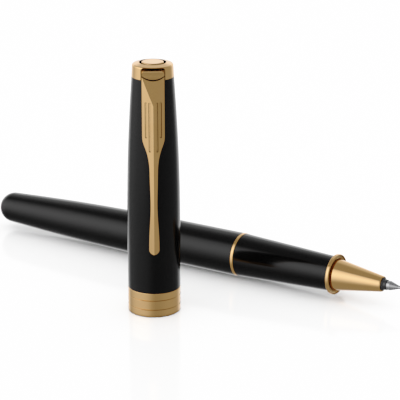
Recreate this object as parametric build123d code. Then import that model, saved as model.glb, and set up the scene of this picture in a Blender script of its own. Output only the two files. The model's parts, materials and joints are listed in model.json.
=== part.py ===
from build123d import *
import math
import os

# A rollerball pen with its cap off. The pen lies along +X with its tip towards +X, and the cap stands
# beside it on its mouth. Lengths are in millimetres. Every piece is first drawn lying along X: stations
# run along X, from the barrel's rear end on the pen and from the mouth on the cap, and radii along Y.

# ---------------------------------------------------------------- driving dimensions: pen
PEN_RADIUS = 5.47            # straight front stretch of the barrel, and the trim ring
DOME_RADIUS = 4.0            # rounded rear end of the barrel
TAPER_END = 58.0             # where the barrel's taper becomes its straight stretch
BARREL_END = 75.15
BARREL_WALL = 0.57
RING_WIDTH = 0.8
SECTION_REAR_RADIUS = 5.4
SECTION_FRONT_RADIUS = 4.3
SECTION_END = 101.8
SLEEVE_END = 83.9            # front end of the threaded sleeve inside the grip
SPIGOT_START = 94.0          # rear end of the nose cone's spigot inside the grip
FLANGE_RADIUS = 5.0          # snap ring that the cap's clutch grips
FLANGE_WIDTH = 0.9
FLANGE_FLOOR = 0.5           # thickness of the flange under its hollow
NOSE_BASE_RADIUS = 3.85
NOSE_END = 115.15
NOSE_END_RADIUS = 1.9
POINT_END = 120.15           # rim of the metal point
BALL_RADIUS = 0.25

REFILL_START = 9.1
REFILL_RADIUS = 3.05
REFILL_BORE = 2.65
REFILL_TUBE_END = 95.5
WICK_START = 86.0
WICK_RADIUS = 0.5
POINT_START = 113.0          # rear end of the point's shank, in the holder's socket
POINT_SHANK_RADIUS = 0.8
HOLDER_RADIUS = 1.56         # the point holder where it passes through the nose's mouth
COLLAR_RADIUS = 1.27         # front of the point holder, outside the nose
COLLAR_END = 116.4

THREAD_PITCH = 0.75
THREAD_DEPTH = 0.35
THREAD_CORE = 3.65           # root radius of the section's male thread
THREAD_START = 65.3
THREAD_LENGTH = 4.2

# ---------------------------------------------------------------- driving dimensions: cap
CAP_POSITION = (69.57, -30.95)  # cap axis, from the barrel's rear end
CLIP_HEADING = -55.7            # direction that the clip faces, in degrees from +X
CAP_BORE = 5.55
CAP_RADIUS = 6.28
BAND_WIDTH = 6.0
BAND_THICKNESS = 0.33
SHELL_END = 57.6
SHELL_END_RADIUS = 4.96
CROWN_RADIUS = 4.8              # crown at its shoulder
CROWN_END = 60.9
FINIAL_RADIUS = 2.58
FINIAL_WELL_RADIUS = 3.18
FINIAL_END = 61.05
STUD_RADIUS = 1.45
NUT_RADIUS = 2.6
END_WALL = 1.8                  # thickness of the cap shell's closed end
CLUTCH_START = 22.4
CLIP_WIDTH = 5.2
CLIP_TOE = 16.2                 # lower end of the clip
CLIP_TOE_WIDTH = 2.4
CLIP_TONGUE_END = 2.0           # inner end of the clip's tongue
CLIP_SLOPE = 0.36               # fall of the clip's two faces from its central ridge
CLIP_HEAD_TOP = 60.0
ROLL_BASE = 4.75                # inner face of the roll across the clip's head

# ---------------------------------------------------------------- clearances
PRESSED = 0.02                # hairline between pieces that are pressed together
RUNNING = 0.10                # between pieces that turn or slide in each other
SEAT = 0.05                   # between end faces that meet

# ---------------------------------------------------------------- derived dimensions
RING_END = BARREL_END + RING_WIDTH
SECTION_START = RING_END + SEAT
FLANGE_START = SECTION_END + PRESSED
FLANGE_END = SECTION_END + FLANGE_WIDTH
SLEEVE_BORE = REFILL_RADIUS + 2 * RUNNING
SLEEVE_RADIUS = SECTION_REAR_RADIUS - 0.7
SPIGOT_RADIUS = SLEEVE_BORE + 0.21
GRIP_BORE = SPIGOT_RADIUS + 2 * PRESSED
THREAD_MAJOR = THREAD_CORE + THREAD_DEPTH
BUSH_BORE = THREAD_MAJOR + RUNNING + SEAT
BUSH_START = THREAD_START - 2 * THREAD_PITCH
BARREL_BORE = PEN_RADIUS - BARREL_WALL
BARREL_SEAT_RADIUS = BARREL_BORE + SEAT
BUSH_NOSE_RADIUS = BARREL_SEAT_RADIUS - 0.35
REFILL_PLUG_END = REFILL_START + 4.0
REFILL_TUBE_START = REFILL_START + 1.0
RESERVOIR_END = REFILL_TUBE_END - 4.1
BALL_CENTRE = POINT_END - 0.07
FLANGE_STOP = FLANGE_END - RING_END      # station in the cap where the flange stops, capped
BAND_SEAT_RADIUS = CAP_RADIUS - BAND_THICKNESS
CLUTCH_RADIUS = CAP_BORE + 0.2
CAP_CEILING = SHELL_END - END_WALL
CROWN_START = SHELL_END + PRESSED
WELL_FLOOR = CROWN_END - 1.2


# ---------------------------------------------------------------- helpers
def turned(face):
    """A face in the station-radius plane, turned about the X axis."""
    return revolve(face, Axis.X)


def outline(*pieces):
    """A face inside curves that join end to end."""
    return make_face(Curve() + list(pieces))


def polygon(*points):
    """A face inside straight lines from (station, radius) to (station, radius)."""
    return make_face(Polyline(*points, close=True))


def tube(start, end, outer, inner=0.0, edge=0.0):
    """A tube or rod between two stations; edge rounds its outer corners."""
    section = polygon((start, inner), (end, inner), (end, outer), (start, outer))
    if edge:
        section = fillet([v for v in section.vertices() if v.Y > (inner + outer) / 2], edge)
    return turned(section)


def thread_ridge(root_radius, depth, start, length):
    """A trapezoid ridge on a right-hand helix; a positive depth points outwards, a negative one inwards."""
    path = Helix(THREAD_PITCH, length, root_radius, center=(start, 0, 0), direction=(1, 0, 0))
    foot = path @ 0
    radial = Vector(0, foot.Y, foot.Z).normalized()
    root_half, crest_half, bite = 0.2, 0.075, math.copysign(0.06, depth)
    section = Plane(origin=foot, x_dir=radial, z_dir=path % 0) * Polygon(
        (-bite, -root_half), (depth, -crest_half), (depth, crest_half), (-bite, root_half), align=None)
    return sweep(section, path=path, is_frenet=True)


# ---------------------------------------------------------------- barrel
def barrel_shell():
    """Drawn tube: domed rear end, long taper, straight front stretch, and a seat for the bush."""
    dome_angle = math.radians(87)
    dome_mid = dome_angle / 2
    rear = (0, 0)
    dome_point = (DOME_RADIUS * (1 - math.cos(dome_mid)), DOME_RADIUS * math.sin(dome_mid))
    dome_end = (DOME_RADIUS * (1 - math.cos(dome_angle)), DOME_RADIUS * math.sin(dome_angle))
    front = (BARREL_END, PEN_RADIUS)
    taper_start = (TAPER_END, PEN_RADIUS)
    skin = Spline(dome_end, (25, 4.99), (38, 5.32), taper_start,
                  tangents=[(math.sin(dome_angle), math.cos(dome_angle)), (1, 0)])
    end_wall = 2.4
    bore = Polyline(front, (BARREL_END, BARREL_SEAT_RADIUS), (BUSH_START - SEAT, BARREL_SEAT_RADIUS),
                    (BUSH_START - SEAT, BARREL_BORE), (46, BARREL_BORE), (26, 4.5), (5.4, 3.5),
                    (end_wall, 2.9), (end_wall, 0), rear)
    return turned(outline(ThreePointArc(rear, dome_point, dome_end), skin, Line(taper_start, front), bore))


def barrel_ring():
    """Thin trim ring between barrel and section, pressed on the bush's nose."""
    return tube(BARREL_END + PRESSED, RING_END, PEN_RADIUS, BUSH_NOSE_RADIUS + PRESSED, edge=0.12)


def barrel_bush():
    """Threaded bush pressed into the front of the barrel; its nose carries the trim ring."""
    body_radius = BARREL_SEAT_RADIUS - PRESSED
    nose_end = RING_END - SEAT
    body = turned(polygon((BUSH_START, BUSH_BORE), (nose_end, BUSH_BORE), (nose_end, BUSH_NOSE_RADIUS),
                          (BARREL_END, BUSH_NOSE_RADIUS), (BARREL_END, body_radius),
                          (BUSH_START, body_radius)))
    return body + thread_ridge(BUSH_BORE, -THREAD_DEPTH, THREAD_START - THREAD_PITCH / 2, THREAD_LENGTH)


SPRING_SEAT_FLOOR = 4.8       # bottom of the pocket that the spring stands in


def spring_seat():
    """Plastic plug at the bottom of the barrel, with a pocket that centres the spring."""
    pocket_radius, front = 2.5, 6.6
    return turned(polygon((2.5, 0), (2.5, 2.85), (5.0, 3.23), (front, 3.28), (front, pocket_radius),
                          (SPRING_SEAT_FLOOR, pocket_radius), (SPRING_SEAT_FLOOR, 0)))


def refill_spring():
    """Light coil spring that pushes the refill forward into the nose."""
    wire_radius, coil_radius, turns = 0.2, 2.1, 4
    start = SPRING_SEAT_FLOOR + wire_radius + SEAT
    length = REFILL_START - wire_radius - SEAT - start
    path = Helix(length / turns, length, coil_radius, center=(start, 0, 0), direction=(1, 0, 0))
    foot = path @ 0
    return sweep(Plane(origin=foot, z_dir=path % 0) * Circle(wire_radius), path=path, is_frenet=True)


# ---------------------------------------------------------------- section (the front grip)
def section_shell():
    """Lacquered grip, tapering to the front, bored for the threaded sleeve and the nose's spigot."""
    sleeve_stop = SLEEVE_END + RUNNING
    face = polygon((SECTION_START, SECTION_REAR_RADIUS), (SECTION_END, SECTION_FRONT_RADIUS),
                   (SECTION_END, GRIP_BORE), (SPIGOT_START - 0.5, GRIP_BORE), (sleeve_stop, 4.4),
                   (sleeve_stop, SLEEVE_RADIUS), (SECTION_START, SLEEVE_RADIUS))
    rear_corner = face.vertices().sort_by(Axis.Y)[-1]
    return turned(fillet(rear_corner, 0.15))


def section_sleeve():
    """Threaded sleeve: pressed into the grip, and screwed into the barrel's bush."""
    shoulder, end = SLEEVE_RADIUS - PRESSED, THREAD_START - 0.4
    pilot_start = THREAD_START + THREAD_LENGTH + 0.6
    body = turned(polygon((end, SLEEVE_BORE), (SLEEVE_END, SLEEVE_BORE), (SLEEVE_END, shoulder),
                          (SECTION_START + SEAT, shoulder), (SECTION_START + SEAT, THREAD_MAJOR),
                          (pilot_start, THREAD_MAJOR), (pilot_start, THREAD_CORE), (end, THREAD_CORE)))
    return body + thread_ridge(THREAD_CORE, THREAD_DEPTH, THREAD_START, THREAD_LENGTH)


def section_flange():
    """Dished snap ring at the front of the grip: a raised lip round a shallow hollow."""
    lip, bore, corner = FLANGE_RADIUS, GRIP_BORE - PRESSED, 0.2
    floor = FLANGE_START + FLANGE_FLOOR
    hollow_radius = NOSE_BASE_RADIUS + 0.05
    rear_corner = [(FLANGE_START, lip - corner), (FLANGE_START + 0.06, lip - 0.06),
                   (FLANGE_START + corner, lip)]
    front_corner = [(FLANGE_END - 0.15, lip), (FLANGE_END - 0.04, lip - 0.04), (FLANGE_END, lip - corner)]
    face = outline(
        Line((FLANGE_START, bore), rear_corner[0]),
        ThreePointArc(*rear_corner),
        Line(rear_corner[-1], front_corner[0]),
        ThreePointArc(*front_corner),
        ThreePointArc(front_corner[-1], (floor - 0.15, 4.3), (floor, hollow_radius)),
        Polyline((floor, hollow_radius), (floor, bore), (FLANGE_START, bore)))
    return turned(face)


def nose_cone():
    """Plated cone at the front of the pen, with a spigot that holds the flange and enters the grip."""
    base = FLANGE_START + FLANGE_FLOOR + PRESSED
    mouth = HOLDER_RADIUS + RUNNING
    land, mouth_length, chamfer_length = 0.7, 3.0, 0.25
    face = polygon((SPIGOT_START, SPIGOT_RADIUS), (base, SPIGOT_RADIUS), (base, NOSE_BASE_RADIUS),
                   (base + land, NOSE_BASE_RADIUS), (NOSE_END - chamfer_length, NOSE_END_RADIUS + 0.04),
                   (NOSE_END, NOSE_END_RADIUS - 0.06), (NOSE_END, mouth), (NOSE_END - mouth_length, mouth),
                   (REFILL_TUBE_END + 4.0, SLEEVE_BORE), (SPIGOT_START, SLEEVE_BORE))
    return turned(face)


# ---------------------------------------------------------------- refill
def refill_tube():
    """Ink tube of the refill."""
    return tube(REFILL_TUBE_START, REFILL_TUBE_END, REFILL_RADIUS, REFILL_BORE)


def refill_end_plug():
    """Plug that closes the rear of the ink tube; the spring bears on it."""
    head_end, plug_radius, chamfer_width = REFILL_TUBE_START - PRESSED, REFILL_BORE - PRESSED, 0.25
    return turned(polygon((REFILL_START, 0), (REFILL_START, REFILL_RADIUS - chamfer_width),
                          (REFILL_START + chamfer_width, REFILL_RADIUS), (head_end, REFILL_RADIUS),
                          (head_end, plug_radius), (REFILL_PLUG_END, plug_radius), (REFILL_PLUG_END, 0)))


def ink_reservoir():
    """Fibre rod that holds the ink, with a hole for the wick."""
    rod = tube(REFILL_PLUG_END + SEAT, RESERVOIR_END, REFILL_BORE - SEAT)
    return rod - tube(WICK_START, RESERVOIR_END, WICK_RADIUS + PRESSED)


def refill_wick():
    """Capillary rod that carries ink from the reservoir to the point."""
    return tube(WICK_START + SEAT, POINT_START, WICK_RADIUS)


def point_holder():
    """Black plastic nose of the refill: plugs the tube, carries the wick, and holds the metal point."""
    rear, channel = RESERVOIR_END + RUNNING, WICK_RADIUS + SEAT
    plug_radius, shoulder = REFILL_BORE - PRESSED, REFILL_TUBE_END + PRESSED
    socket, socket_start = POINT_SHANK_RADIUS + PRESSED, POINT_START + SEAT
    face = polygon((rear, channel), (rear, plug_radius), (shoulder, plug_radius), (shoulder, REFILL_RADIUS),
                   (REFILL_TUBE_END + 3.5, REFILL_RADIUS), (NOSE_END - 3.1, HOLDER_RADIUS),
                   (NOSE_END + 0.25, HOLDER_RADIUS), (NOSE_END + 0.4, COLLAR_RADIUS),
                   (COLLAR_END - 0.1, COLLAR_RADIUS), (COLLAR_END, COLLAR_RADIUS - 0.1), (COLLAR_END, socket),
                   (socket_start, socket), (socket_start, channel))
    return turned(face)


def refill_point():
    """Turned steel point: shank, cone, and the socket that holds the ball."""
    base_radius, rim_radius, feed_radius = 1.15, 0.31, 0.16
    base = COLLAR_END + PRESSED
    rear = POINT_START + 2 * SEAT
    profile = turned(polygon((rear, 0), (rear, POINT_SHANK_RADIUS), (base, POINT_SHANK_RADIUS),
                             (base, base_radius - 0.08), (base + 0.1, base_radius),
                             (base + 0.75, base_radius), (POINT_END - 0.75, rim_radius + 0.11),
                             (POINT_END, rim_radius), (POINT_END, 0)))
    socket = Pos(BALL_CENTRE, 0, 0) * Sphere(BALL_RADIUS + PRESSED)
    return profile - tube(POINT_START, BALL_CENTRE, feed_radius) - socket


def tip_ball():
    """Writing ball."""
    return Pos(BALL_CENTRE, 0, 0) * Sphere(BALL_RADIUS)


# ---------------------------------------------------------------- cap, drawn lying, its mouth at station 0
def cap_shell():
    """Lacquered cap tube: a thin end for the band, a cigar taper, a true bore and a closed top."""
    shoulder = BAND_WIDTH + SEAT
    start = (shoulder, CAP_RADIUS - 0.01)
    end = (SHELL_END, SHELL_END_RADIUS)
    skin = Spline(start, (28.0, CAP_RADIUS - 0.03), (43.0, 5.82), end, tangents=[(1, 0), (1, -0.068)])
    stud_hole, mouth_chamfer = STUD_RADIUS + 0.25, 0.1
    inside = Polyline(end, (SHELL_END, stud_hole), (CAP_CEILING, stud_hole), (CAP_CEILING, 4.4), (43.0, 5.22),
                      (28.0, CLUTCH_RADIUS), (CLUTCH_START, CLUTCH_RADIUS), (CLUTCH_START, CAP_BORE),
                      (mouth_chamfer, CAP_BORE), (0, CAP_BORE + mouth_chamfer), (0, BAND_SEAT_RADIUS),
                      (shoulder, BAND_SEAT_RADIUS), start)
    return turned(outline(skin, inside))


def cap_band():
    """Plated band round the mouth, with two fine grooves."""
    band = tube(0, BAND_WIDTH, CAP_RADIUS, BAND_SEAT_RADIUS + PRESSED, edge=0.12)
    groove_half, groove_depth, overshoot = 0.14, 0.13, 0.01
    for station in (1.83, 4.13):
        band -= turned(polygon((station - groove_half, CAP_RADIUS + overshoot),
                               (station, CAP_RADIUS - groove_depth),
                               (station + groove_half, CAP_RADIUS + overshoot)))
    return band


def cap_crown():
    """Plated ring on the top of the cap, with a window and a slot for the clip and a well for the finial."""
    stud_hole, shoulder_end, shoulder_fillet = STUD_RADIUS + 0.15, CROWN_END - 0.35, 0.45
    section = polygon((CROWN_START, stud_hole), (CROWN_START, SHELL_END_RADIUS), (shoulder_end, CROWN_RADIUS),
                      (CROWN_END, FINIAL_WELL_RADIUS), (WELL_FLOOR, FINIAL_WELL_RADIUS),
                      (WELL_FLOOR, stud_hole))
    section = fillet([v for v in section.vertices() if abs(v.X - shoulder_end) < 0.01], shoulder_fillet)
    window_top, window_floor, window_width, corner = CROWN_END - 0.4, 3.75, CLIP_WIDTH + 0.5, 0.8
    window = Box(window_top - CROWN_START + 1, 3.0, window_width)
    window = Pos(window_top - (window_top - CROWN_START + 1) / 2, window_floor + 1.5, 0) * window
    window = fillet(window.edges().filter_by(Axis.Y).group_by(Axis.X)[-1], corner)
    slot = Pos(CROWN_START + 0.8, 3.4, 0) * Box(1.0, 3.2, 4.6)
    return turned(section) - window - slot


def finial():
    """Disc in the crown's well, with the stud that clamps the top of the cap together."""
    disc_start = WELL_FLOOR + PRESSED
    disc = tube(disc_start, FINIAL_END, FINIAL_RADIUS, edge=0.25)
    stud_start, overlap = CAP_CEILING - 3.7, 0.1
    return disc + tube(stud_start, disc_start + overlap, STUD_RADIUS)


def cap_nut():
    """Slotted nut inside the inner cap, screwed on the finial's stud."""
    start = CAP_CEILING - 3.3
    nut = tube(start, CAP_CEILING - SEAT, NUT_RADIUS, STUD_RADIUS + PRESSED, edge=0.2)
    return nut - Pos(start, 0, 0) * Box(1.4, 6.0, 0.8)


def inner_cap():
    """Plastic liner that seals over the nose and stops the flange when the cap is on."""
    rim, top, skin = FLANGE_STOP + SEAT, CAP_CEILING - SEAT, CAP_BORE - SEAT
    pocket_radius, pocket_floor = NUT_RADIUS + RUNNING, CAP_CEILING - 4.1
    vent_radius, vent_end = 1.0, pocket_floor - 3.7
    face = polygon((rim, 4.4), (rim, skin), (34.0, skin), (43.0, 5.15), (top, 4.35), (top, pocket_radius),
                   (pocket_floor, pocket_radius), (pocket_floor, vent_radius), (vent_end, vent_radius),
                   (vent_end, 3.4), (40.0, 4.2))
    return turned(face)


def clutch_ring():
    """Split spring ring in the cap, with dimples that snap behind the section's flange."""
    start, end = CLUTCH_START + SEAT, FLANGE_STOP - SEAT
    thickness, dimple_radius, dimples = 0.36, 0.42, 6
    outer = CLUTCH_RADIUS - SEAT
    inner = outer - thickness
    ring = tube(start, end, outer, inner)
    dimple_station = FLANGE_STOP - FLANGE_WIDTH - 0.45
    dimple = (Pos(dimple_station, inner + 0.02, 0) * Sphere(dimple_radius)) & tube(start, end, outer)
    for place in range(dimples):
        ring += Rot(X=30 + place * 360 / dimples) * dimple
    return ring - Pos((start + end) / 2, -inner, 0) * Box(end - start + 1, 2.0, 0.8)


def clip_side(offset):
    """The clip's side shape along its ridge; offset lowers its front."""
    tongue_bottom, tongue_top = SHELL_END + 0.55, SHELL_END + 1.15
    head_back, neck = 4.65, SHELL_END_RADIUS + 0.42
    neck_start = tongue_bottom - 0.6
    toe_inner, toe_outer = (CLIP_TOE, 6.95), (CLIP_TOE, 7.5 - offset)
    touch = (CLIP_TOE + 3.0, CAP_RADIUS + 0.12)
    shoulder = (SHELL_END + 1.0, 7.0 - offset)
    front = Spline(shoulder, (38.0, 7.5 - offset), (25.0, 7.75 - offset), toe_outer,
                   tangents=[(-1, 0.045), (-1, -0.03)])
    toe = ThreePointArc(toe_outer, (CLIP_TOE - 0.18, 7.2 - offset / 2), toe_inner)
    back = Spline(toe_inner, touch, (24.0, 6.84), (38.0, 6.62), (neck_start, neck),
                  tangents=[(1, -0.25), (1, -0.09)])
    root = Polyline((neck_start, neck), (tongue_bottom, neck), (tongue_bottom, CLIP_TONGUE_END),
                    (tongue_top, CLIP_TONGUE_END), (tongue_top, head_back), (CLIP_HEAD_TOP, head_back),
                    (CLIP_HEAD_TOP, shoulder[1]), shoulder)
    return outline(front, toe, back, root)


def clip_ridged(offset=0.0):
    """The clip's body: its side shape spread both ways, falling away from the central ridge."""
    half_width = CLIP_WIDTH / 2
    reach = half_width * math.hypot(1, CLIP_SLOPE)
    near, far = [extrude(clip_side(offset), reach, dir=Vector(0, -CLIP_SLOPE, side).normalized())
                 for side in (-1, 1)]
    return near + far


def from_front(face):
    """A long prism of a shape that is drawn as the clip's front shows it."""
    return Rot(X=90) * extrude(face, 10, both=True)


def clip_front():
    """The clip's front shape: a wide head that narrows to a slim bar with a rounded toe."""
    half_width, bar_half, toe_half = CLIP_WIDTH / 2, 0.78, CLIP_TOE_WIDTH / 2
    taper_start, toe_centre = 44.8, CLIP_TOE + CLIP_TOE_WIDTH / 2

    def side(sign):
        return Spline((taper_start, sign * half_width), (41.9, sign * 1.88), (39.4, sign * 1.22),
                      (34.5, sign * 0.92), (28.0, sign * bar_half), (toe_centre, sign * toe_half),
                      tangents=[(-1, 0), (-1, 0)])

    return outline(Polyline((taper_start, -half_width), (CROWN_END, -half_width), (CROWN_END, half_width),
                            (taper_start, half_width)), side(1),
                   ThreePointArc((toe_centre, toe_half), (CLIP_TOE, 0), (toe_centre, -toe_half)), side(-1))


def clip_roll_front(drop=0.0):
    """Front shape of the roll across the clip's head; its lower edge bows down, and drop lowers it."""
    lowest, end, half_width = CLIP_HEAD_TOP - 1.75 - drop, CLIP_HEAD_TOP - 0.75 - drop, CLIP_WIDTH / 2
    return outline(ThreePointArc((end, -half_width), (lowest, 0), (end, half_width)),
                   Polyline((end, half_width), (CROWN_END, half_width), (CROWN_END, -half_width),
                            (end, -half_width)))


def clip_flat():
    """Side shape that flattens the clip's ridge below its head."""
    facet_end, clear = 52.0, 10.0
    return polygon((CLIP_HEAD_TOP, 5.85), (facet_end, 7.25), (facet_end, clear), (0, clear),
                   (0, CLIP_TONGUE_END), (CLIP_HEAD_TOP, CLIP_TONGUE_END))


def head_front(base):
    """The space in front of a plane through the clip's head, at a distance from the cap's axis."""
    clear = 10.0
    return Pos(CLIP_HEAD_TOP, base + clear / 2, 0) * Box(clear, clear, clear)


def clip_roll():
    """The roll straight across the clip's head, with rounded corners at its top."""
    bottom, height, corner = CLIP_HEAD_TOP - 1.9, 4.0, 0.55
    top_front, crest, bottom_front = 5.3, 6.5, 6.2
    profile = outline(ThreePointArc((CLIP_HEAD_TOP, top_front), (CLIP_HEAD_TOP - 0.75, crest),
                                    (bottom, bottom_front)),
                      Polyline((bottom, bottom_front), (bottom, ROLL_BASE), (CLIP_HEAD_TOP, ROLL_BASE),
                               (CLIP_HEAD_TOP, top_front)))
    roll = extrude(profile, CLIP_WIDTH / 2, both=True)
    rounded = Pos(CLIP_HEAD_TOP - height / 2, 0) * RectangleRounded(height, CLIP_WIDTH, corner)
    return roll & from_front(clip_roll_front()) & from_front(rounded)


def clip():
    """Sprung clip: a plain ridged blade with fine flutes, a rounded toe and a tongue under the crown."""
    blade = clip_ridged() & from_front(clip_front())
    blade &= extrude(clip_flat(), CLIP_WIDTH, both=True)
    groove_width, groove_floor, overlap = 0.4, 5.7, 0.1
    blade -= from_front(clip_roll_front(groove_width)) & head_front(groove_floor)
    blade -= from_front(clip_roll_front()) & head_front(ROLL_BASE + overlap)
    blade += clip_roll()
    blade -= tube(0, CLIP_TOE + 14, CAP_RADIUS + RUNNING)
    tongue_half = 2.1
    cheek = Box(8.0, 3.5, 1.0)
    blade -= [Pos(SHELL_END - 1.0, 2.75, side * (tongue_half + 0.5)) * cheek for side in (-1, 1)]
    flute_top, flute_width, flute_depth = 53.0, 0.5, 0.2
    skin = clip_ridged() - clip_ridged(flute_depth)
    for offset, length in ((0.85, 11.8), (1.7, 8.5)):
        for side in (-1, 1):
            slot = Pos(flute_top - length / 2, side * offset) * SlotOverall(length, flute_width)
            blade -= skin & from_front(slot)
    return blade


PEN_PIECES = {
    "barrel_shell": barrel_shell,
    "barrel_ring": barrel_ring,
    "barrel_bush": barrel_bush,
    "spring_seat": spring_seat,
    "refill_spring": refill_spring,
    "section_shell": section_shell,
    "section_sleeve": section_sleeve,
    "section_flange": section_flange,
    "nose_cone": nose_cone,
    "refill_tube": refill_tube,
    "refill_end_plug": refill_end_plug,
    "ink_reservoir": ink_reservoir,
    "refill_wick": refill_wick,
    "point_holder": point_holder,
    "refill_point": refill_point,
    "tip_ball": tip_ball,
}
CAP_PIECES = {
    "cap_shell": cap_shell,
    "cap_band": cap_band,
    "cap_crown": cap_crown,
    "finial": finial,
    "cap_nut": cap_nut,
    "inner_cap": inner_cap,
    "clutch_ring": clutch_ring,
    "clip": clip,
}


def assembly():
    """Every piece in place, with the origin on the floor under the middle of the whole."""
    lying = Pos(0, 0, PEN_RADIUS)
    standing = Pos(*CAP_POSITION, 0) * Rot(Z=CLIP_HEADING - 90) * Rot(Y=-90)
    placed = {name: lying * make() for name, make in PEN_PIECES.items()}
    placed.update({name: standing * make() for name, make in CAP_PIECES.items()})
    box = Compound(children=[Compound(piece.solids()) for piece in placed.values()]).bounding_box()
    centring = Pos(-box.center().X, -box.center().Y, 0)
    return {name: centring * piece for name, piece in placed.items()}, centring


pieces, centring = assembly()
os.makedirs("parts", exist_ok=True)
for name, piece in pieces.items():
    export_step(piece, f"parts/{name}.step")
print("barrel's rear end at", tuple(centring.position + Vector(0, 0, PEN_RADIUS)))
print("cap axis at", tuple(centring.position + Vector(*CAP_POSITION, 0)))
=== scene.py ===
import json
import math

import bpy
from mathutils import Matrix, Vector


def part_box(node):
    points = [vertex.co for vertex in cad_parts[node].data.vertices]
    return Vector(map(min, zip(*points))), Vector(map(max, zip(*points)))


# A rollerball pen and its standing cap on a pale studio floor. Lengths are in metres, in the CAD's frame.

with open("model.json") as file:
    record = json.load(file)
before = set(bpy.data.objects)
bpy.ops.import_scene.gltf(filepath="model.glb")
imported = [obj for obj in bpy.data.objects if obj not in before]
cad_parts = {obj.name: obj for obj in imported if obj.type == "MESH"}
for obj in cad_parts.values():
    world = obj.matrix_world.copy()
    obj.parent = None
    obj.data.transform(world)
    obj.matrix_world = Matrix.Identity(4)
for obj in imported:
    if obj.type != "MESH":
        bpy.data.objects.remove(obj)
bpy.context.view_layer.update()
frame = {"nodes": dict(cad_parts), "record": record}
NODES = frame["nodes"]
MM = 0.001

# ---------------------------------------------------------------- axes of the turned pieces, from the frame
PEN_AXIS = (sum(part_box("barrel_ring"), Vector()) / 2, Vector((1, 0, 0)))
CAP_AXIS = (sum(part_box("cap_band"), Vector()) / 2, Vector((0, 0, 1)))
CAP_BODIES = ("cap", "clip")

# ---------------------------------------------------------------- camera
CAMERA_HEADING = math.radians(32.24)   # turn of the view from +Y towards -X
CAMERA_PITCH = math.radians(18.0)      # below the horizon
CAMERA_DISTANCE = 470 * MM
CAMERA_LENS = 172.1
CAMERA_TARGET = CAP_AXIS[0] + Vector((0.115, 20.34, 18.79)) * MM

# ---------------------------------------------------------------- light and film
TENT_LIGHT = 3.2      # even light all round, which whitens the floor; reflections don't see it
ROOM_LIGHT = 0.30     # what reflections see where no lamp or wall is
WALL_LIGHT = 0.5      # pale wall behind the pen
HORIZON_LIGHT = 0.85  # brighter foot of that wall
FILL_LIGHT = 0.08     # dim panel at the right
KEY_LIGHT = 2.0       # softbox at the left
KEY_AZIMUTH = -66.0   # of the key's middle, in degrees to the right of the camera's stand
FILL_AZIMUTH = 95.0
# Soft edges of the lights, each from none to full. A spread is the cosine of the angle from the middle of
# the light, and a foot or a top is the sine of the height above the horizon.
KEY_SPREAD, KEY_FOOT, KEY_TOP = (0.32, 1.0), (-0.75, 0.5), (0.86, 0.74)
WALL_SPREAD, WALL_FOOT, WALL_FOOT_LEAST = (0.3, 0.8), (-0.4, 0.3), 0.3
HORIZON_SPREAD, HORIZON_TOP = (0.5, 0.9), (0.5, 0.3)
FILL_SPREAD = (0.2, 1.0)
FILM_WHITE = 3.0      # brightest light that the film tells from white
# The film's response, as (light, brightness shown).
FILM_CURVE = ((0.0117, 0.006), (0.06, 0.06), (0.16, 0.18), (0.45, 0.40),
              (0.98, 0.67), (1.6, 0.90), (2.2, 0.99))


def studio_direction(azimuth, elevation):
    """A direction in the studio; azimuth is in degrees to the right of the camera's stand, elevation up."""
    heading = CAMERA_HEADING - math.pi / 2 + math.radians(azimuth)
    level = math.cos(math.radians(elevation))
    return Vector((math.cos(heading) * level, math.sin(heading) * level, math.sin(math.radians(elevation))))


def add_camera():
    """The camera, at a low angle from the pen's front right."""
    data = bpy.data.cameras.new("camera")
    data.lens = CAMERA_LENS
    nearest, farthest = 10 * MM, 20
    data.clip_start = nearest
    data.clip_end = farthest
    camera = bpy.data.objects.new("camera", data)
    bpy.context.scene.collection.objects.link(camera)
    camera.location = CAMERA_TARGET + CAMERA_DISTANCE * studio_direction(0, math.degrees(CAMERA_PITCH))
    camera.rotation_euler = (math.pi / 2 - CAMERA_PITCH, 0, CAMERA_HEADING)
    bpy.context.scene.camera = camera


# ---------------------------------------------------------------- node helpers
def math_node(tree, operation, *values):
    """A maths node; each value is a number or a socket."""
    node = tree.nodes.new("ShaderNodeMath")
    node.operation = operation
    for socket, value in zip(node.inputs, values):
        if isinstance(value, bpy.types.NodeSocket):
            tree.links.new(value, socket)
        else:
            socket.default_value = value
    return node.outputs[0]


def vector_node(tree, operation, vector, other=None):
    """A vector maths node of a socket with a fixed vector."""
    node = tree.nodes.new("ShaderNodeVectorMath")
    node.operation = operation
    tree.links.new(vector, node.inputs[0])
    if other is not None:
        node.inputs[1].default_value = other
    scalar = operation in ("DOT_PRODUCT", "LENGTH")
    return node.outputs["Value" if scalar else "Vector"]


def ramp_node(tree, value, low, high, to_low=0.0, to_high=1.0):
    """A smooth step of a socket's value, from one result at low to another at high."""
    node = tree.nodes.new("ShaderNodeMapRange")
    node.interpolation_type = "SMOOTHSTEP"
    tree.links.new(value, node.inputs["Value"])
    for name, number in (("From Min", low), ("From Max", high), ("To Min", to_low), ("To Max", to_high)):
        node.inputs[name].default_value = number
    return node.outputs["Result"]


def color_node(tree, factor, first, second):
    """A colour between two, by a factor socket; the first may itself be a socket."""
    node = tree.nodes.new("ShaderNodeMix")
    node.data_type = "RGBA"
    first_color, second_color, color_result = 6, 7, 2    # this node's colour sockets, told by place only
    first_socket, second_socket = node.inputs[first_color], node.inputs[second_color]
    tree.links.new(factor, node.inputs["Factor"])
    if isinstance(first, bpy.types.NodeSocket):
        tree.links.new(first, first_socket)
    else:
        first_socket.default_value = (*first, 1)
    second_socket.default_value = (*second, 1)
    return node.outputs[color_result]


def noise_node(tree, vector, size, detail=2.0):
    """Noise in space with grains of about a given size."""
    node = tree.nodes.new("ShaderNodeTexNoise")
    node.inputs["Scale"].default_value = 1 / size
    node.inputs["Detail"].default_value = detail
    tree.links.new(vector, node.inputs["Vector"])
    return node.outputs["Fac"]


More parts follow.
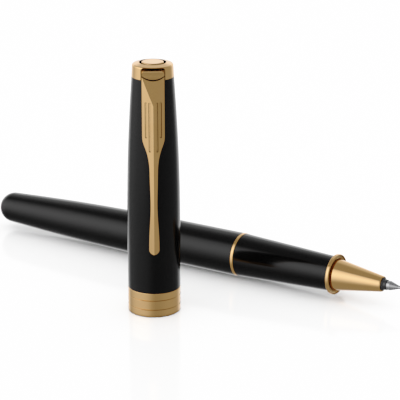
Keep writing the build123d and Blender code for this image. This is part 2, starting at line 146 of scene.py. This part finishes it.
# ---------------------------------------------------------------- studio
def add_studio():
    """A soft tent of light; reflections see a softbox at the left, a pale wall behind and a dim room."""
    world = bpy.data.worlds.new("studio")
    bpy.context.scene.world = world
    world.use_nodes = True
    world.cycles.sampling_method = "NONE"
    tree = world.node_tree
    tree.nodes.clear()
    view = tree.nodes.new("ShaderNodeTexCoord").outputs["Generated"]
    height = vector_node(tree, "DOT_PRODUCT", view, (0, 0, 1))

    def towards(azimuth):
        return vector_node(tree, "DOT_PRODUCT", view, studio_direction(azimuth, 0))

    def patch(*steps):
        """Product of soft edges, each given as (socket, limits and results of its smooth step)."""
        edges = [ramp_node(tree, *step) for step in steps]
        result = edges[0]
        for edge in edges[1:]:
            result = math_node(tree, "MULTIPLY", result, edge)
        return result

    behind = towards(180)
    lights = (
        (KEY_LIGHT, patch((towards(KEY_AZIMUTH), *KEY_SPREAD), (height, *KEY_FOOT), (height, *KEY_TOP))),
        (HORIZON_LIGHT, patch((behind, *HORIZON_SPREAD), (height, *HORIZON_TOP))),
        (WALL_LIGHT, patch((behind, *WALL_SPREAD), (height, *WALL_FOOT, WALL_FOOT_LEAST))),
        (FILL_LIGHT, patch((towards(FILL_AZIMUTH), *FILL_SPREAD))),
    )
    light = ROOM_LIGHT
    for strength, shape in lights:
        light = math_node(tree, "MULTIPLY_ADD", shape, strength, light)

    glossy = tree.nodes.new("ShaderNodeLightPath").outputs["Is Glossy Ray"]
    reflected = math_node(tree, "MULTIPLY", light, glossy)
    plain = math_node(tree, "MULTIPLY", math_node(tree, "SUBTRACT", 1.0, glossy), TENT_LIGHT)
    background = tree.nodes.new("ShaderNodeBackground")
    background.inputs["Color"].default_value = (1, 1, 1, 1)
    tree.links.new(math_node(tree, "ADD", reflected, plain), background.inputs["Strength"])
    output = tree.nodes.new("ShaderNodeOutputWorld")
    tree.links.new(background.outputs[0], output.inputs["Surface"])


def set_film_response():
    """A film-like response: it deepens the shadows and rolls off the highlights, on a plain display."""
    view = bpy.context.scene.view_settings
    view.view_transform = "Standard"
    view.use_curve_mapping = True
    mapping = view.curve_mapping
    mapping.white_level = (FILM_WHITE, FILM_WHITE, FILM_WHITE)
    combined = mapping.curves[3]
    for light, shown in FILM_CURVE:
        combined.points.new(light / FILM_WHITE, shown)
    for point in combined.points:
        point.handle_type = "AUTO_CLAMPED"
    mapping.update()


def add_floor():
    """Pale polished floor under the pen, which mirrors it softly."""
    half_side, clearance = 4.0, 0.02 * MM
    white, roughness, mirror_index = 0.88, 0.12, 2.8
    mesh = bpy.data.meshes.new("floor")
    corners = [(x * half_side, y * half_side, -clearance) for x, y in ((-1, -1), (1, -1), (1, 1), (-1, 1))]
    mesh.from_pydata(corners, [], [(0, 1, 2, 3)])
    floor = bpy.data.objects.new("floor", mesh)
    bpy.context.scene.collection.objects.link(floor)
    material = bpy.data.materials.new("floor_white")
    material.use_nodes = True
    shader = material.node_tree.nodes["Principled BSDF"]
    shader.inputs["Base Color"].default_value = (white, white, white, 1)
    shader.inputs["Roughness"].default_value = roughness
    shader.inputs["IOR"].default_value = mirror_index
    mesh.materials.append(material)
    floor.visible_glossy = False    # the dim foot of the studio's pattern stands for it in reflections


# ---------------------------------------------------------------- surface detail, and the mask for painted shade
def object_place(tree):
    """The place on the piece, which rides with it when it moves."""
    return tree.nodes.new("ShaderNodeTexCoord").outputs["Object"]


def turning_marks(tree, axis, size):
    """Fine rings left by the lathe: they vary along the axis and, on end faces, with the radius."""
    centre, direction = axis
    offset = vector_node(tree, "SUBTRACT", object_place(tree), centre)
    across = Vector((1, 1, 1)) - direction
    radius = vector_node(tree, "LENGTH", vector_node(tree, "MULTIPLY", offset, across))
    station = vector_node(tree, "DOT_PRODUCT", offset, direction)
    node = tree.nodes.new("ShaderNodeTexNoise")
    node.noise_dimensions = "1D"
    node.inputs["Scale"].default_value = 1 / size
    node.inputs["Detail"].default_value = 3.0
    tree.links.new(math_node(tree, "ADD", station, radius), node.inputs["W"])
    return node.outputs["Fac"]


def lengthwise_marks(tree, axis, size, stretch=0.02):
    """Fine streaks along an axis, as drawing, extruding or polishing leaves."""
    direction = axis[1]
    squeeze = Vector((1, 1, 1)) - (1 - stretch) * direction
    return noise_node(tree, vector_node(tree, "MULTIPLY", object_place(tree), squeeze), size)


def set_bump(tree, shader, height, depth):
    """Real relief of a given depth, from a height socket."""
    node = tree.nodes.new("ShaderNodeBump")
    node.inputs["Distance"].default_value = depth
    tree.links.new(height, node.inputs["Height"])
    tree.links.new(node.outputs["Normal"], shader.inputs["Normal"])


def set_roughness(tree, shader, marks, low, high):
    """Roughness that follows the marks, from low in their faint parts to high in their strong ones."""
    faint, strong = 0.3, 0.7
    tree.links.new(ramp_node(tree, marks, faint, strong, low, high), shader.inputs["Roughness"])


def crevice_node(tree, reach):
    """A mask for painted shade: 1 in tight corners and gaps, 0 on open surfaces."""
    node = tree.nodes.new("ShaderNodeAmbientOcclusion")
    node.samples = 6
    node.inputs["Distance"].default_value = reach
    closed, open_enough = 0.3, 0.85
    return ramp_node(tree, node.outputs["AO"], closed, open_enough, to_low=1.0, to_high=0.0)


# ---------------------------------------------------------------- materials
def new_material(name, color, metallic=0.0):
    """A principled material, its tree and its shader; the plain colour serves where nodes aren't read."""
    material = bpy.data.materials.new(name)
    material.use_nodes = True
    tree = material.node_tree
    shader = tree.nodes["Principled BSDF"]
    shader.inputs["Base Color"].default_value = (*color, 1)
    shader.inputs["Metallic"].default_value = metallic
    return material, tree, shader


def black_lacquer(name, axis):
    """Deep gloss lacquer: a faint orange peel, polishing haze, and a little depth in its black."""
    black, warm_black = (0.0008, 0.0008, 0.0009), (0.0016, 0.0015, 0.0014)
    material, tree, shader = new_material(name, black)
    shader.inputs["IOR"].default_value = 1.385
    place = object_place(tree)
    clouds = noise_node(tree, place, 6 * MM)
    tree.links.new(color_node(tree, clouds, black, warm_black), shader.inputs["Base Color"])
    set_roughness(tree, shader, turning_marks(tree, axis, 0.15 * MM), 0.10, 0.14)
    set_bump(tree, shader, noise_node(tree, place, 0.8 * MM, 1.0), 0.0006 * MM)
    return material


GOLD = (0.98, 0.57, 0.24)


def gold_color(tree, shader):
    """Pale gold, slightly uneven in tone, with painted shade that darkens it to near-black bronze in gaps
    and grooves.
    """
    # the near-black second colour here is painted shade, laid into gaps and grooves
    rich_gold, painted_gap_shade = (0.95, 0.52, 0.20), (0.03, 0.014, 0.005)
    tone = color_node(tree, noise_node(tree, object_place(tree), 2.5 * MM), GOLD, rich_gold)
    # painted shade: gaps and grooves darken to a near-black bronze colour by ambient occlusion
    tree.links.new(color_node(tree, crevice_node(tree, 1.2 * MM), tone, painted_gap_shade), shader.inputs["Base Color"])


def gold_plate(name, axis):
    """Polished gold plate over turned brass."""
    material, tree, shader = new_material(name, GOLD, metallic=1.0)
    gold_color(tree, shader)
    marks = turning_marks(tree, axis, 0.07 * MM)
    set_roughness(tree, shader, marks, 0.08, 0.15)
    set_bump(tree, shader, marks, 0.0005 * MM)
    return material


def gold_clip(name, axis):
    """Gold plate on the pressed clip, polished along its length."""
    material, tree, shader = new_material(name, GOLD, metallic=1.0)
    gold_color(tree, shader)
    marks = lengthwise_marks(tree, axis, 0.09 * MM)
    set_roughness(tree, shader, marks, 0.11, 0.2)
    set_bump(tree, shader, marks, 0.0006 * MM)
    return material


def brass(name, axis):
    """Bare turned brass with a little tarnish."""
    bright, tarnished = (0.80, 0.56, 0.25), (0.50, 0.33, 0.14)
    material, tree, shader = new_material(name, bright, metallic=1.0)
    patches = ramp_node(tree, noise_node(tree, object_place(tree), 1.6 * MM, 4.0), 0.35, 0.75)
    tree.links.new(color_node(tree, patches, bright, tarnished), shader.inputs["Base Color"])
    marks = turning_marks(tree, axis, 0.12 * MM)
    set_roughness(tree, shader, marks, 0.2, 0.38)
    set_bump(tree, shader, marks, 0.003 * MM)
    return material


def spring_steel(name, axis):
    """Bright drawn wire and strip, with fine scuffs and a faint straw tint."""
    steel, straw = (0.60, 0.60, 0.61), (0.56, 0.51, 0.42)
    material, tree, shader = new_material(name, steel, metallic=1.0)
    tint = ramp_node(tree, noise_node(tree, object_place(tree), 1.2 * MM), 0.5, 0.8)
    tree.links.new(color_node(tree, tint, steel, straw), shader.inputs["Base Color"])
    marks = noise_node(tree, object_place(tree), 0.06 * MM, 4.0)
    set_roughness(tree, shader, marks, 0.18, 0.32)
    set_bump(tree, shader, marks, 0.001 * MM)
    return material


def point_steel(name, axis):
    """Turned stainless steel, with visible tool marks and painted shade in its steps."""
    steel, shade = (0.50, 0.50, 0.51), (0.06, 0.06, 0.065)
    material, tree, shader = new_material(name, steel, metallic=1.0)
    # painted shade: the steel darkens in its steps and corners by ambient occlusion
    tree.links.new(color_node(tree, crevice_node(tree, 0.4 * MM), steel, shade), shader.inputs["Base Color"])
    marks = turning_marks(tree, axis, 0.1 * MM)
    set_roughness(tree, shader, marks, 0.14, 0.3)
    set_bump(tree, shader, marks, 0.003 * MM)
    return material


def carbide(name, axis):
    """Ground carbide ball: dark, hard and finely textured to hold ink."""
    light_grey, ink_trace = (0.42, 0.42, 0.44), (0.03, 0.03, 0.06)
    material, tree, shader = new_material(name, light_grey, metallic=1.0)
    grains = noise_node(tree, object_place(tree), 0.02 * MM, 3.0)
    inked = ramp_node(tree, noise_node(tree, object_place(tree), 0.15 * MM), 0.45, 0.7)
    tree.links.new(color_node(tree, inked, light_grey, ink_trace), shader.inputs["Base Color"])
    set_roughness(tree, shader, grains, 0.12, 0.35)
    set_bump(tree, shader, grains, 0.0008 * MM)
    return material


def black_plastic(name, axis):
    """Moulded black plastic with a fine satin grain."""
    black, grey = (0.006, 0.006, 0.006), (0.016, 0.016, 0.017)
    material, tree, shader = new_material(name, black)
    tree.links.new(color_node(tree, noise_node(tree, object_place(tree), 1.5 * MM), black, grey),
                   shader.inputs["Base Color"])
    grain = noise_node(tree, object_place(tree), 0.05 * MM, 3.0)
    set_roughness(tree, shader, grain, 0.24, 0.38)
    set_bump(tree, shader, grain, 0.002 * MM)
    return material


def refill_plastic(name, axis):
    """Extruded grey plastic tube, with flow lines along it and a milky depth."""
    grey, milky = (0.42, 0.43, 0.45), (0.54, 0.55, 0.57)
    material, tree, shader = new_material(name, grey)
    shader.inputs["Subsurface Weight"].default_value = 0.15
    shader.inputs["Subsurface Scale"].default_value = 0.5 * MM
    streaks = lengthwise_marks(tree, axis, 0.25 * MM)
    tree.links.new(color_node(tree, streaks, grey, milky), shader.inputs["Base Color"])
    set_roughness(tree, shader, streaks, 0.25, 0.4)
    set_bump(tree, shader, streaks, 0.002 * MM)
    return material


def ink_fibre(name, axis):
    """Bundled fibre soaked with ink: fine strands along it, with drier, paler ones among them."""
    soaked, dry = (0.004, 0.008, 0.05), (0.05, 0.08, 0.22)
    material, tree, shader = new_material(name, soaked)
    shader.inputs["Sheen Weight"].default_value = 0.25
    strands = lengthwise_marks(tree, axis, 0.12 * MM)
    tree.links.new(color_node(tree, ramp_node(tree, strands, 0.4, 0.7), soaked, dry),
                   shader.inputs["Base Color"])
    set_roughness(tree, shader, strands, 0.65, 0.95)
    set_bump(tree, shader, strands, 0.03 * MM)
    return material


MAKERS = {
    "black_lacquer": black_lacquer,
    "gold_plate": gold_plate,
    "brass": brass,
    "spring_steel": spring_steel,
    "point_steel": point_steel,
    "carbide": carbide,
    "black_plastic": black_plastic,
    "refill_plastic": refill_plastic,
    "ink_fibre": ink_fibre,
}
PRESSED_NODES = {"clip": gold_clip}     # pieces whose marks run along them and not round them


def paint_nodes():
    """Gives every CAD node the material of its slot, with marks about its own axis."""
    bodies = frame["record"]["behaviour"]["bodies"]
    cap_nodes = [node for body in CAP_BODIES for node in bodies[body]]
    made = {}
    for subpart in frame["record"]["subparts"]:
        node = subpart["node"]
        place, axis = ("cap", CAP_AXIS) if node in cap_nodes else ("pen", PEN_AXIS)
        maker = PRESSED_NODES.get(node) or MAKERS[subpart["material_slot"]]
        name = f"{maker.__name__}_{place}"
        if name not in made:
            made[name] = maker(name, axis)
        for slot in NODES[node].material_slots:
            slot.material = made[name]


add_camera()
add_studio()
set_film_response()
add_floor()
paint_nodes()
